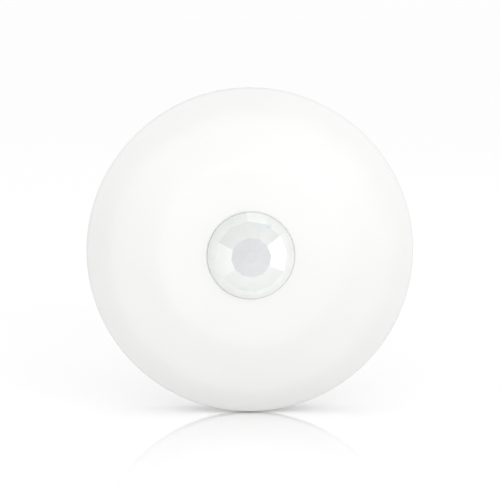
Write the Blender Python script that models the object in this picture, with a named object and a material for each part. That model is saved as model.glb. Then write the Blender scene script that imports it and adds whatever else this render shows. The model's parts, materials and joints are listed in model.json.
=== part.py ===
"""A round wireless motion sensor that twists off a wall or ceiling plate.

Every shape is drawn in the sensor's own frame, in millimetres: z = 0 is the wall, +z points out of the
lens, +y is up and +x is to the right of someone facing the sensor. The empty sensor_axis stands that
frame upright, so that the finished model looks along -Y with +Z up, in metres.
"""

import math

import bmesh
import bpy
from mathutils import Matrix

MM = 0.001  # the mesh functions turn millimetres into metres with it

# Driving dimensions
BODY_RADIUS = 49.0
WIDEST_HEIGHT = 15.6  # height of the widest circle above the wall
CROWN_HEIGHT = 26.0  # the cover's face beside the lens
LENS_RADIUS = 12.95
LENS_TIP_HEIGHT = 31.2
COVER_WALL = 2.0
GAP = 0.3  # between pieces that touch

# Mounting plate
PLATE_RADIUS = 42.4
PLATE_THICKNESS = 2.4
PLATE_CHAMFER = 0.5

# Rear housing
SKIRT_START = 0.8
SKIRT_INNER_RADIUS = 43.4
SKIRT_REAR_RADIUS = 46.4
SEAM_HEIGHT = 9.7  # where the rear housing ends and the front cover begins
SEAM_RADIUS = 48.6
FLOOR_BACK = 3.0
FLOOR_FRONT = 4.8
TONGUE_INNER_RADIUS = 45.8
TONGUE_OUTER_RADIUS = 47.05
TONGUE_TOP = 11.8

# The cover's face: nearly flat in the middle, then a cone, then a steeper cone to the edge
PLATEAU_RADIUS = 27.6
SHOULDER_RADIUS = 42.2
EDGE_START_RADIUS = 48.1
PLATEAU_SLOPE = math.tan(math.radians(1.2))
CONE_SLOPE = math.tan(math.radians(18.0))
RIM_SLOPE = math.tan(math.radians(36.0))
BEND_SOFTNESS = 2.0  # the larger, the more gently one slope turns into the next

# Bayonet: hooks on the plate, slots in the housing's floor
HOOK_ANGLES = (90.0, 210.0, 330.0)
HOOK_HALF_WIDTH = 4.0  # degrees
HOOK_INNER_RADIUS = 35.0
HOOK_POST_RADIUS = 36.6
HOOK_LIP_RADIUS = 38.8
HOOK_LIP_HEIGHT = 5.3
HOOK_TOP = 6.8
UNLOCK_ANGLE = 15.0  # degrees that the housing turns, anticlockwise seen from the front
SLOT_CLEARANCE = 1.5  # degrees at each end of a slot

# Screws that join the housing to the cover, and the posts that hold the circuit board
CASE_SCREW_ANGLES = (30.0, 150.0, 270.0)
CASE_SCREW_RADIUS = 38.6
BOARD_SCREW_ANGLES = (90.0, 195.0, 345.0)
BOARD_SCREW_RADIUS = 31.0

# Circuit board
BOARD_RADIUS = 35.0
BOARD_BACK = 12.0
BOARD_FRONT = 13.6
BOARD_NOTCH_HALF_WIDTH = 17.2
BOARD_NOTCH_TOP = -12.4

# Battery bay, in the lower half of the rear housing
BATTERY_RADIUS = 7.8
BATTERY_LENGTH = 27.0
BATTERY_Y = -22.5
BATTERY_Z = 12.5
BATTERY_MIDDLE_X = 0.6
BAY_HALF_LENGTH = 15.2
BAY_HALF_WIDTH = 8.1
BAY_WALL = 1.3
BAY_ROOF = 20.5  # its inner face
BAY_SHOULDER_HALF_WIDTH = 4.5  # the roof slopes down beyond this, to clear the cover
BAY_SHOULDER_DROP = 5.0
DOOR_LEDGE = 0.9  # how much of the bay's wall the door rests on
DOOR_THICKNESS = 1.3
DOOR_HALF_LENGTH = 15.8
DOOR_HINGE_Y = -14.4
DOOR_HINGE_Z = 3.65
DOOR_BARREL_RADIUS = 0.65
DOOR_PIN_LENGTH = 0.9

# Windows in the mounting plate
BATTERY_WINDOW_RADIUS = 36.0  # its lower edge is an arc, wide enough for the door at every turn
BATTERY_WINDOW_ANGLES = (241.0, 314.0)
BATTERY_WINDOW_TOP = ((20.8, -8.4), (-17.4, -12.4))
SERVICE_WINDOW = (-13.0, 13.0, 14.0, 28.0)  # x0, x1, y0, y1
WINDOW_CORNER = 3.0
FIXING_SLOT_X = 30.0
FIXING_SLOT_WIDTH = 4.6
FIXING_SLOT_LENGTH = 9.0
FIXING_RECESS_WIDTH = 8.4
FIXING_RECESS_FLOOR = 1.1
PAD = (5.0, 19.5, -6.0, 10.0)  # the right-hand adhesive pad; the left one mirrors it
PAD_RECESS = 0.9

# Parts that move through the housing's floor
LEARN_AT = (-6.0, 21.0)
MODE_AT = (6.5, 21.0)
MODE_TRAVEL = 2.0
TAMPER_RADIUS = 24.5
TAMPER_ANGLE = 14.0
TAMPER_TRAVEL = 1.5  # over the unlocking turn
TAMPER_REST_HEIGHT = 2.9
SWITCH_BACK = 9.8  # the switches hang under the board, from here to just below it
SWITCH_FRONT = BOARD_BACK - GAP

# Lens, its retainer and the sensing element
SENSOR_LEAD_RADIUS = 2.54
SENSOR_LEAD_ANGLES = (0.0, 90.0, 180.0)
SENSOR_COLLAR_TOP = 17.0
LENS_WALL = 0.8
LENS_SIDES = 12
LENS_PHASE = 6.0  # degrees; the facets' corners lie at this angle and every 30 degrees on
LENS_FLANGE_RADIUS = 15.6
LENS_OPENING_RADIUS = 13.25
RETAINER_SCREW_ANGLES = (90.0, 210.0, 330.0)
RETAINER_SCREW_RADIUS = 20.5
LED_AT = (5.3, 7.5)
LIGHT_SENSOR_AT = (-3.0, -9.4)

SHELL_SEGMENTS = 64
LENS_SEGMENTS = 48
ROUND_SEGMENTS = 24
SMALL_SEGMENTS = 16
SMOOTH_ANGLE = math.radians(30)
WELD_DISTANCE = 0.002  # joins the twin corners that a Boolean may leave


# ---------------------------------------------------------------- shapes, each a closed bmesh in millimetres


def polar(radius, degrees):
    """The point (x, y) at this radius and angle."""
    angle = math.radians(degrees)
    return radius * math.cos(angle), radius * math.sin(angle)


def steps(start, end, count):
    """count + 1 evenly spaced numbers from start to end."""
    return [start + (end - start) * i / count for i in range(count + 1)]


def polygon_radius(corner_radius, sides, degrees):
    """Distance from the centre to the edge of a regular polygon whose corner lies at 0 degrees."""
    wedge = 360.0 / sides
    off_middle = math.radians((degrees % wedge) - wedge / 2)
    return corner_radius * math.cos(math.pi / sides) / math.cos(off_middle)


def lathe(profile, segments, phase=0.0):
    """Turns a closed profile of (radius, z) or (radius, z, sides) points about z. A point with sides makes
    a ring in the form of that polygon, and a point at radius 0 makes a single vertex."""
    shape = bmesh.new()
    rings = []
    for radius, z, *sides in profile:
        if radius == 0:
            rings.append([shape.verts.new((0, 0, z))])
            continue
        ring = []
        for i in range(segments):
            turn = 360.0 * i / segments
            reach = polygon_radius(radius, sides[0], turn) if sides else radius
            ring.append(shape.verts.new((*polar(reach, turn + phase), z)))
        rings.append(ring)
    for ring, after in zip(rings, rings[1:] + rings[:1]):
        if len(ring) == 1 and len(after) == 1:
            continue
        for i in range(segments):
            j = (i + 1) % segments
            corners = [ring[i % len(ring)], ring[j % len(ring)], after[j % len(after)], after[i % len(after)]]
            shape.faces.new(list(dict.fromkeys(corners)))
    return shape


def cylinder(radius, z0, z1, segments=ROUND_SEGMENTS, at=(0, 0)):
    return moved(lathe([(0, z0), (radius, z0), (radius, z1), (0, z1)], segments), at)


def tube(inner, outer, z0, z1, segments=ROUND_SEGMENTS, at=(0, 0)):
    return moved(lathe([(inner, z0), (outer, z0), (outer, z1), (inner, z1)], segments), at)


def moved(shape, at):
    bmesh.ops.translate(shape, vec=(*at, 0) if len(at) == 2 else at, verts=shape.verts)
    return shape


def swept(profile_at, angles):
    """Sweeps a (radius, z) profile about z through the angles, in degrees, with flat ends."""
    shape = bmesh.new()
    sections = [
        [shape.verts.new((*polar(radius, angle), z)) for radius, z in profile_at(angle)] for angle in angles
    ]
    count = len(sections[0])
    for section, after in zip(sections, sections[1:]):
        for i in range(count):
            j = (i + 1) % count
            shape.faces.new([section[i], section[j], after[j], after[i]])
    shape.faces.new(sections[0])
    shape.faces.new(sections[-1])
    return shape


def lofted(*sections):
    """Joins closed outlines, each an (outline, z) pair, and caps the ends. All have as many points."""
    shape = bmesh.new()
    rings = [[shape.verts.new((x, y, z)) for x, y in outline] for outline, z in sections]
    for ring, after in zip(rings, rings[1:]):
        for i in range(len(ring)):
            j = (i + 1) % len(ring)
            shape.faces.new([ring[i], ring[j], after[j], after[i]])
    shape.faces.new(rings[0])
    shape.faces.new(rings[-1])
    return shape


def prism(outline, z0, z1):
    """Extrudes a closed outline of (x, y) points from z0 to z1."""
    return lofted((outline, z0), (outline, z1))


def rectangle(x0, x1, y0, y1):
    return [(x0, y0), (x1, y0), (x1, y1), (x0, y1)]


def block(x0, x1, y0, y1, z0, z1):
    return prism(rectangle(x0, x1, y0, y1), z0, z1)


def rounded_rectangle(x0, x1, y0, y1, corner, arc_steps=4):
    """Outline of a rectangle with round corners."""
    centres = (
        (x1 - corner, y1 - corner, 0),
        (x0 + corner, y1 - corner, 90),
        (x0 + corner, y0 + corner, 180),
        (x1 - corner, y0 + corner, 270),
    )
    outline = []
    for x, y, start in centres:
        for angle in steps(start, start + 90, arc_steps):
            dx, dy = polar(corner, angle)
            outline.append((x + dx, y + dy))
    return outline


def obround(x, y, length, width, upright):
    """Outline of a slot with round ends."""
    half = (length - width) / 2
    across, along = (0, half) if upright else (half, 0)
    reach = width / 2
    half_x, half_y = across + reach, along + reach
    return rounded_rectangle(x - half_x, x + half_x, y - half_y, y + half_y, reach - 0.01)


def coil(radius_at, wire, start, end, turns, points_per_turn, sides):
    """A wire wound about z, as a closed tube. radius_at gives the coil's radius for a share of its height."""
    shape = bmesh.new()
    count = round(turns * points_per_turn)
    rings = []
    for i in range(count + 1):
        share = i / count
        turn = 360.0 * turns * share
        radius = radius_at(share)
        z = start + (end - start) * share
        ring = []
        for k in range(sides):
            outward, upward = polar(wire / 2, 360.0 * k / sides)
            ring.append(shape.verts.new((*polar(radius + outward, turn), z + upward)))
        rings.append(ring)
    for ring, after in zip(rings, rings[1:]):
        for k in range(sides):
            m = (k + 1) % sides
            shape.faces.new([ring[k], ring[m], after[m], after[k]])
    shape.faces.new(rings[0])
    shape.faces.new(rings[-1])
    return shape


def rotated(shape, axis, degrees):
    """Rotates a shape about the X, Y or Z axis."""
    bmesh.ops.transform(shape, matrix=Matrix.Rotation(math.radians(degrees), 4, axis), verts=shape.verts)
    return shape


# ---------------------------------------------------------------- objects


def material(name, colour, roughness, metallic=0.0):
    made = bpy.data.materials.new(name)
    made.use_nodes = True
    shader = made.node_tree.nodes["Principled BSDF"]
    shader.inputs["Base Color"].default_value = (*colour, 1.0)
    shader.inputs["Roughness"].default_value = roughness
    shader.inputs["Metallic"].default_value = metallic
    made.diffuse_color = (*colour, 1.0)
    return made


def mesh_of(name, shapes):
    """One mesh from closed shapes that don't touch each other, in metres, with its faces pointing out."""
    joined = bmesh.new()
    for shape in shapes:
        one = bpy.data.meshes.new(name)
        shape.to_mesh(one)
        shape.free()
        joined.from_mesh(one)
        bpy.data.meshes.remove(one)
    bmesh.ops.scale(joined, vec=(MM, MM, MM), verts=joined.verts)
    bmesh.ops.recalc_face_normals(joined, faces=joined.faces)
    mesh = bpy.data.meshes.new(name)
    joined.to_mesh(mesh)
    joined.free()
    mesh.shade_smooth()
    mesh.set_sharp_from_angle(angle=SMOOTH_ANGLE)
    return mesh


def empty(name, parent=None):
    made = bpy.data.objects.new(name, None)
    bpy.context.scene.collection.objects.link(made)
    made.parent = parent
    return made


def part(name, shape, finish, parent, at=(0, 0, 0)):
    """One piece of the sensor. at is its origin, in the sensor's frame, and its shape is drawn about it."""
    made = bpy.data.objects.new(name, mesh_of(name, [shape]))
    bpy.context.scene.collection.objects.link(made)
    made.data.materials.append(finish)
    made.parent = parent
    made.location = [MM * length for length in at]
    return made


def helper(target, shapes, operation):
    """Joins shapes to the target, or cuts them from it. The shapes of one call don't touch."""
    name = f"{target.name}_{operation.lower()}_{len(target.modifiers) + 1}"
    tool = bpy.data.objects.new(name, mesh_of(name, shapes))
    bpy.context.scene.collection.objects.link(tool)
    tool.parent = target.parent
    tool.location = target.location
    tool.hide_render = True
    tool.display_type = "WIRE"
    boolean = target.modifiers.new(name, "BOOLEAN")
    boolean.operation = operation
    boolean.solver = "EXACT"
    boolean.object = tool
    weld = target.modifiers.new(f"{name}_weld", "WELD")
    weld.merge_threshold = WELD_DISTANCE * MM


def join(target, *shapes):
    helper(target, shapes, "UNION")


def cut(target, *shapes):
    helper(target, shapes, "DIFFERENCE")


# ---------------------------------------------------------------- the cover's curved face


def past(radius, bend_radius):
    """How far a radius lies past a bend, or 0 before it, with a soft change between the two."""
    beyond = radius - bend_radius
    return (beyond + math.hypot(beyond, BEND_SOFTNESS)) / 2


def face_height(radius):
    """Height of the cover's outer face."""
    height = CROWN_HEIGHT - PLATEAU_SLOPE * (radius - LENS_OPENING_RADIUS)
    height -= (CONE_SLOPE - PLATEAU_SLOPE) * past(radius, PLATEAU_RADIUS)
    return height - (RIM_SLOPE - CONE_SLOPE) * past(radius, SHOULDER_RADIUS)


def inner_face_height(radius):
    """Height of the cover's inner face, a wall's thickness inside the outer one."""
    slope = (face_height(radius - 0.05) - face_height(radius + 0.05)) / 0.1
    return face_height(radius) - COVER_WALL * math.hypot(1.0, slope)


# ---------------------------------------------------------------- plate and its fixings


def make_mounting_plate(finish, parent):
    plate = part(
        "mounting_plate",
        lathe(
            [
                (0, 0),
                (PLATE_RADIUS, 0),
                (PLATE_RADIUS, PLATE_THICKNESS - PLATE_CHAMFER),
                (PLATE_RADIUS - PLATE_CHAMFER, PLATE_THICKNESS),
                (0, PLATE_THICKNESS),
            ],
            SHELL_SEGMENTS,
        ),
        finish,
        parent,
    )
    inside_plate = PLATE_THICKNESS / 2
    hook_profile = [
        (HOOK_INNER_RADIUS, inside_plate),
        (HOOK_POST_RADIUS, inside_plate),
        (HOOK_POST_RADIUS, HOOK_LIP_HEIGHT),
        (HOOK_LIP_RADIUS, HOOK_LIP_HEIGHT),
        (HOOK_LIP_RADIUS, HOOK_TOP - 0.5),
        (HOOK_LIP_RADIUS - 0.5, HOOK_TOP),
        (HOOK_INNER_RADIUS, HOOK_TOP),
    ]
    hooks = [
        swept(lambda angle: hook_profile, steps(middle - HOOK_HALF_WIDTH, middle + HOOK_HALF_WIDTH, 2))
        for middle in HOOK_ANGLES
    ]
    ramp_top = TAMPER_REST_HEIGHT - GAP
    boss_profile = [
        (TAMPER_RADIUS - 2.6, inside_plate),
        (TAMPER_RADIUS + 2.6, inside_plate),
        (TAMPER_RADIUS + 2.6, ramp_top + 0.1),
        (TAMPER_RADIUS - 2.6, ramp_top + 0.1),
    ]
    ramp_boss = swept(lambda angle: boss_profile, steps(TAMPER_ANGLE - 6, TAMPER_ANGLE + UNLOCK_ANGLE + 6, 9))
    join(plate, *hooks, ramp_boss)

    def ramp_profile(angle):
        """The tamper plunger rides down this slope as the housing turns."""
        share = min(1.0, max(0.0, (angle - TAMPER_ANGLE) / UNLOCK_ANGLE))
        low = ramp_top - TAMPER_TRAVEL * share
        return [
            (TAMPER_RADIUS - 2.0, low),
            (TAMPER_RADIUS + 2.0, low),
            (TAMPER_RADIUS + 2.0, HOOK_TOP),
            (TAMPER_RADIUS - 2.0, HOOK_TOP),
        ]

    ramp_end = TAMPER_ANGLE + UNLOCK_ANGLE
    ramp_angles = [TAMPER_ANGLE - 5, *steps(TAMPER_ANGLE, ramp_end, 6), ramp_end + 5]
    left_slot = obround(-FIXING_SLOT_X, 0, FIXING_SLOT_LENGTH, FIXING_SLOT_WIDTH, True)
    right_slot = obround(FIXING_SLOT_X, 0, FIXING_SLOT_LENGTH, FIXING_SLOT_WIDTH, False)
    above = PLATE_THICKNESS + 1
    x0, x1, y0, y1 = PAD
    battery_window = [polar(BATTERY_WINDOW_RADIUS, angle) for angle in steps(*BATTERY_WINDOW_ANGLES, 12)]
    battery_window += BATTERY_WINDOW_TOP
    cut(
        plate,
        swept(ramp_profile, ramp_angles),
        prism(battery_window, -1, above),
        prism(rounded_rectangle(*SERVICE_WINDOW, WINDOW_CORNER), -1, above),
        prism(left_slot, -1, above),
        prism(right_slot, -1, above),
        prism(rounded_rectangle(x0, x1, y0, y1, 2.0), -1, PAD_RECESS),
        prism(rounded_rectangle(-x1, -x0, y0, y1, 2.0), -1, PAD_RECESS),
        prism([(-1.5, PLATE_RADIUS + 1), (0.1, PLATE_RADIUS - 1.6), (1.7, PLATE_RADIUS + 1)], -1, above),
    )
    recess_length = FIXING_SLOT_LENGTH + FIXING_RECESS_WIDTH - FIXING_SLOT_WIDTH
    left_recess = obround(-FIXING_SLOT_X, 0, recess_length, FIXING_RECESS_WIDTH, True)
    right_recess = obround(FIXING_SLOT_X, 0, recess_length, FIXING_RECESS_WIDTH, False)
    cut(plate, *[prism(recess, FIXING_RECESS_FLOOR, above) for recess in (left_recess, right_recess)])


def make_adhesive_pads(finish, parent):
    x0, x1, y0, y1 = PAD
    sides = {"left": (-x1 + GAP, -x0 - GAP), "right": (x0 + GAP, x1 - GAP)}
    for side, (left, right) in sides.items():
        outline = rounded_rectangle(left, right, y0 + GAP, y1 - GAP, 1.7)
        part(f"adhesive_pad_{side}", prism(outline, 0.05, PAD_RECESS - GAP), finish, parent)


# ---------------------------------------------------------------- rear housing


def hook_slot(middle):
    """A bayonet slot: narrow where the hook locks, wide where its lip comes out."""
    clearance = 0.4
    inner = HOOK_INNER_RADIUS - clearance
    narrow = HOOK_POST_RADIUS + clearance
    wide = HOOK_LIP_RADIUS + clearance
    half = HOOK_HALF_WIDTH + SLOT_CLEARANCE
    far = middle - UNLOCK_ANGLE - half
    step_angle = middle - UNLOCK_ANGLE + half
    near = middle + half
    outline = [polar(wide, angle) for angle in steps(far, step_angle, 3)]
    outline += [polar(narrow, angle) for angle in steps(step_angle, near, 3)]
    outline += [polar(inner, angle) for angle in steps(near, far, 6)]
    return prism(outline, FLOOR_BACK - 1, FLOOR_FRONT + 1)


def bay_form(half_length, wall, start):
    """The battery bay's inner form, or its outer one a wall larger. Each side has a sloping shoulder."""
    side = BAY_HALF_WIDTH + wall
    roof = BAY_ROOF + 0.55 * wall
    shoulder = BAY_SHOULDER_HALF_WIDTH + 0.5 * wall
    outline = [
        (side, start),
        (side, BAY_ROOF - BAY_SHOULDER_DROP + 0.4 * wall),
        (shoulder, roof),
        (-shoulder, roof),
        (-side, BAY_ROOF - BAY_SHOULDER_DROP + 0.4 * wall),
        (-side, start),
    ]
    form = rotated(rotated(prism(outline, -half_length, half_length), "Z", 90), "Y", 90)
    return moved(form, (0, BATTERY_Y, 0))


def make_rear_housing(finish, parent):
    housing = part(
        "rear_housing",
        lathe(
            [
                (SKIRT_INNER_RADIUS, SKIRT_START),
                (SKIRT_REAR_RADIUS, SKIRT_START),
                (SKIRT_REAR_RADIUS + 0.8, SKIRT_START + 0.6),
                (SEAM_RADIUS - 0.6, SEAM_HEIGHT - 2.5),
                (SEAM_RADIUS, SEAM_HEIGHT),
                (TONGUE_OUTER_RADIUS, SEAM_HEIGHT),
                (TONGUE_OUTER_RADIUS, TONGUE_TOP),
                (TONGUE_INNER_RADIUS, TONGUE_TOP),
                (TONGUE_INNER_RADIUS - 0.4, FLOOR_FRONT),
                (0, FLOOR_FRONT),
                (0, FLOOR_BACK),
                (SKIRT_INNER_RADIUS, FLOOR_BACK),
            ],
            SHELL_SEGMENTS,
        ),
        finish,
        parent,
    )
    inside_floor = (FLOOR_BACK + FLOOR_FRONT) / 2
    bay_x = BAY_HALF_LENGTH + BAY_WALL
    tamper_at = polar(TAMPER_RADIUS, TAMPER_ANGLE)
    case_screws = [polar(CASE_SCREW_RADIUS, angle) for angle in CASE_SCREW_ANGLES]
    board_screws = [polar(BOARD_SCREW_RADIUS, angle) for angle in BOARD_SCREW_ANGLES]
    join(
        housing,
        bay_form(bay_x, BAY_WALL, inside_floor),
        *[cylinder(3.9, inside_floor, 7.0, ROUND_SEGMENTS, at) for at in case_screws],
        *[cylinder(2.8, inside_floor, BOARD_BACK - GAP, SMALL_SEGMENTS, at) for at in board_screws],
        cylinder(3.3, inside_floor, 6.0, SMALL_SEGMENTS, tamper_at),
    )
    ledge = (
        -BAY_HALF_LENGTH - DOOR_LEDGE,
        BAY_HALF_LENGTH + DOOR_LEDGE,
        BATTERY_Y - BAY_HALF_WIDTH - DOOR_LEDGE,
        BATTERY_Y + BAY_HALF_WIDTH + DOOR_LEDGE,
    )
    below = FLOOR_BACK - 1
    counterbore = [(0, below), (3.0, below), (3.0, 5.0), (1.5, 5.0), (1.5, 8.0), (0, 8.0)]
    mode_x, mode_y = MODE_AT
    cut(
        housing,
        *[hook_slot(middle) for middle in HOOK_ANGLES],
        block(*ledge, below, FLOOR_FRONT),
        *[moved(lathe(counterbore, ROUND_SEGMENTS), at) for at in case_screws],
        *[cylinder(1.1, 6.0, BOARD_BACK, SMALL_SEGMENTS, at) for at in board_screws],
        cylinder(1.8, below, 7.0, SMALL_SEGMENTS, tamper_at),
        cylinder(3.0, below, FLOOR_FRONT + 1, SMALL_SEGMENTS, LEARN_AT),
        block(mode_x - 1.3, mode_x + 1.3 + MODE_TRAVEL, mode_y - 1.6, mode_y + 1.6, below, FLOOR_FRONT + 1),
    )
    cut(housing, bay_form(BAY_HALF_LENGTH, 0.0, inside_floor))
    notch_inner = BAY_HALF_LENGTH + DOOR_LEDGE - 0.3
    notch_outer = DOOR_HALF_LENGTH + DOOR_PIN_LENGTH + GAP
    notch_front = DOOR_HINGE_Z + DOOR_BARREL_RADIUS + 0.2
    tab_inner = BAY_HALF_LENGTH - 1.0
    tab_outer = BAY_HALF_LENGTH + 0.15
    cuts = []
    for side in (-1, 1):
        x0, x1 = sorted((side * notch_inner, side * notch_outer))
        cuts.append(block(x0, x1, DOOR_HINGE_Y - 0.85, DOOR_HINGE_Y + 0.85, below, notch_front))
        x0, x1 = sorted((side * tab_inner, side * tab_outer))
        y0, y1 = BATTERY_Y + BAY_HALF_WIDTH - 0.5, BATTERY_Y + BAY_HALF_WIDTH + BAY_WALL + 0.5
        cuts.append(block(x0, x1, y0, y1, BOARD_FRONT, BOARD_FRONT + 2.8))
    cut(housing, *cuts)


def make_battery_door(finish, parent):
    """A flap that hinges on two stub pins along its upper edge. Its origin is on the hinge's axis."""
    back = FLOOR_BACK - DOOR_HINGE_Z
    bottom = BATTERY_Y - BAY_HALF_WIDTH - DOOR_LEDGE + GAP - DOOR_HINGE_Y
    flap = block(-DOOR_HALF_LENGTH, DOOR_HALF_LENGTH, bottom, 0, back, back + DOOR_THICKNESS)
    door = part("battery_door", flap, finish, parent, (0, DOOR_HINGE_Y, DOOR_HINGE_Z))
    pin_reach = DOOR_HALF_LENGTH + DOOR_PIN_LENGTH
    pin = lathe(
        [
            (0, -pin_reach),
            (DOOR_BARREL_RADIUS - 0.002, -pin_reach),
            (DOOR_BARREL_RADIUS - 0.002, pin_reach),
            (0, pin_reach),
        ],
        SMALL_SEGMENTS,
    )
    join(door, rotated(pin, "Y", 90))
    thumb_recess = lathe([(0, -1.0), (3.6, -1.0), (3.6, back + 0.7), (0, back + 0.7)], ROUND_SEGMENTS)
    cut(door, moved(thumb_recess, (0, bottom + 1.2)))


# ---------------------------------------------------------------- front cover and lens


def make_front_cover(finish, parent):
    edge = [(48.6, WIDEST_HEIGHT + 0.6), (48.9, WIDEST_HEIGHT + 0.3), (BODY_RADIUS, WIDEST_HEIGHT)]
    bends = [*steps(25.5, 30.5, 4), 35.0, *steps(39.5, 45.0, 5)]
    outer_radii = [LENS_OPENING_RADIUS, 19.0, 23.5, *bends, EDGE_START_RADIUS]
    outer = [(radius, face_height(radius)) for radius in outer_radii] + edge
    rib_inner, rib_outer, rib_end = 16.0, 17.2, 22.9
    seat = face_height(LENS_OPENING_RADIUS) - COVER_WALL
    inner = [(LENS_OPENING_RADIUS, seat), (rib_inner, seat), (rib_inner, rib_end), (rib_outer, rib_end)]
    side = 46.9
    inner_radii = (rib_outer, 25.5, 28.0, 31.0, 39.0, 42.0, 44.5, side)
    inner += [(radius, inner_face_height(radius)) for radius in inner_radii]
    groove = TONGUE_OUTER_RADIUS + GAP
    foot = SEAM_HEIGHT + GAP
    lower = [(side, TONGUE_TOP + GAP), (groove, TONGUE_TOP + GAP), (groove, foot), (SEAM_RADIUS, foot)]
    cover = part("front_cover", lathe(inner + lower + outer[::-1], SHELL_SEGMENTS), finish, parent)
    boss_top = 20.6
    case_screws = [polar(CASE_SCREW_RADIUS, angle) for angle in CASE_SCREW_ANGLES]
    retainer_screws = [polar(RETAINER_SCREW_RADIUS, angle) for angle in RETAINER_SCREW_ANGLES]
    join(
        cover,
        *[cylinder(2.7, 7.0 + GAP, boss_top, SMALL_SEGMENTS, at) for at in case_screws],
        *[cylinder(2.3, rib_end, 24.6, SMALL_SEGMENTS, at) for at in retainer_screws],
    )
    cut(
        cover,
        *[cylinder(1.35, 6.0, 15.5, SMALL_SEGMENTS, at) for at in case_screws],
        *[cylinder(1.0, rib_end - 1, 24.5, SMALL_SEGMENTS, at) for at in retainer_screws],
    )


def make_lens(finish, parent):
    """A faceted dome on a flange. Each facet focuses one zone of the room on the sensing element."""
    flange_top = face_height(LENS_OPENING_RADIUS) - COVER_WALL - GAP
    flange_back = flange_top - LENS_WALL
    outer = [
        (0, LENS_TIP_HEIGHT),
        (6.0, LENS_TIP_HEIGHT - 0.5, LENS_SIDES),
        (10.7, LENS_TIP_HEIGHT - 2.6, LENS_SIDES),
        (12.2, LENS_TIP_HEIGHT - 3.7),
        (LENS_RADIUS, CROWN_HEIGHT + 0.5),
        (LENS_RADIUS, flange_top),
        (LENS_FLANGE_RADIUS, flange_top),
        (LENS_FLANGE_RADIUS, flange_back),
    ]
    inner = [
        (LENS_RADIUS - LENS_WALL, flange_back),
        (LENS_RADIUS - LENS_WALL, CROWN_HEIGHT + 0.3),
        (11.6, LENS_TIP_HEIGHT - 4.5),
        (10.2, LENS_TIP_HEIGHT - 3.35, LENS_SIDES),
        (5.8, LENS_TIP_HEIGHT - 1.3, LENS_SIDES),
        (0, LENS_TIP_HEIGHT - LENS_WALL),
    ]
    part("fresnel_lens", lathe(outer + inner, LENS_SEGMENTS, LENS_PHASE), finish, parent)


def make_lens_retainer(finish, parent):
    back, front = 21.5, 22.6
    ring = part("lens_retainer", tube(12.6, 17.3, back, front, LENS_SEGMENTS), finish, parent)
    ears = []
    for angle in RETAINER_SCREW_ANGLES:
        ear = obround(16.0 + 2.6, 0, 2.6 * 2 + 3.8, 5.2, False)
        ears.append(rotated(prism(ear, back, front - 0.05), "Z", angle))
    join(ring, *ears)
    holes = [polar(RETAINER_SCREW_RADIUS, angle) for angle in RETAINER_SCREW_ANGLES]
    cut(ring, *[cylinder(1.1, back - 1, front + 1, SMALL_SEGMENTS, at) for at in holes])


# ---------------------------------------------------------------- screws


def screw(name, finish, parent, at, head_radius, head, shank_radius, shank_end):
    """A pan-head screw along z with a cross recess. head is the pair of heights of its top and its seat."""
    top, seat = head
    crown = 0.35 * (1 if seat > top else -1)
    made = part(
        name,
        lathe(
            [
                (0, top),
                (head_radius - 0.5, top),
                (head_radius, top + crown),
                (head_radius, seat),
                (shank_radius, seat),
                (shank_radius, shank_end - crown),
                (shank_radius * 0.6, shank_end),
                (0, shank_end),
            ],
            SMALL_SEGMENTS,
        ),
        finish,
        parent,
        (*at, 0),
    )
    reach, half = head_radius * 0.55, head_radius * 0.13
    low, high = sorted((top - crown, top + 2 * crown))
    cross = [
        (reach, -half), (reach, half), (half, half), (half, reach), (-half, reach), (-half, half),
        (-reach, half), (-reach, -half), (-half, -half), (-half, -reach), (half, -reach), (half, -half),
    ]
    cut(made, prism(cross, low, high))


def make_screws(finish, parent):
    for i, angle in enumerate(CASE_SCREW_ANGLES, 1):
        at = polar(CASE_SCREW_RADIUS, angle)
        screw(f"case_screw_{i}", finish, parent, at, 2.6, (3.2, 4.7), 1.1, 14.0)
    for i, angle in enumerate(BOARD_SCREW_ANGLES, 1):
        at = polar(BOARD_SCREW_RADIUS, angle)
        screw(f"board_screw_{i}", finish, parent, at, 2.1, (15.3, BOARD_FRONT + GAP), 0.8, 7.0)
    for i, angle in enumerate(RETAINER_SCREW_ANGLES, 1):
        at = polar(RETAINER_SCREW_RADIUS, angle)
        screw(f"retainer_screw_{i}", finish, parent, at, 1.8, (20.1, 21.2), 0.7, 24.0)


# ---------------------------------------------------------------- circuit board and what is on it


def make_circuit_board(finish, parent):
    disc = cylinder(BOARD_RADIUS, BOARD_BACK, BOARD_FRONT, SHELL_SEGMENTS)
    board = part("circuit_board", disc, finish, parent)
    below, above = BOARD_BACK - 1, BOARD_FRONT + 1
    notch = block(
        -BOARD_NOTCH_HALF_WIDTH, BOARD_NOTCH_HALF_WIDTH, -BOARD_RADIUS - 1, BOARD_NOTCH_TOP, below, above
    )
    screw_holes = [polar(BOARD_SCREW_RADIUS, angle) for angle in BOARD_SCREW_ANGLES]
    lead_holes = [polar(SENSOR_LEAD_RADIUS, angle) for angle in SENSOR_LEAD_ANGLES]
    cut(
        board,
        notch,
        *[cylinder(1.3, below, above, SMALL_SEGMENTS, at) for at in screw_holes],
        *[cylinder(0.6, below, above, 8, at) for at in lead_holes],
    )


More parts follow.
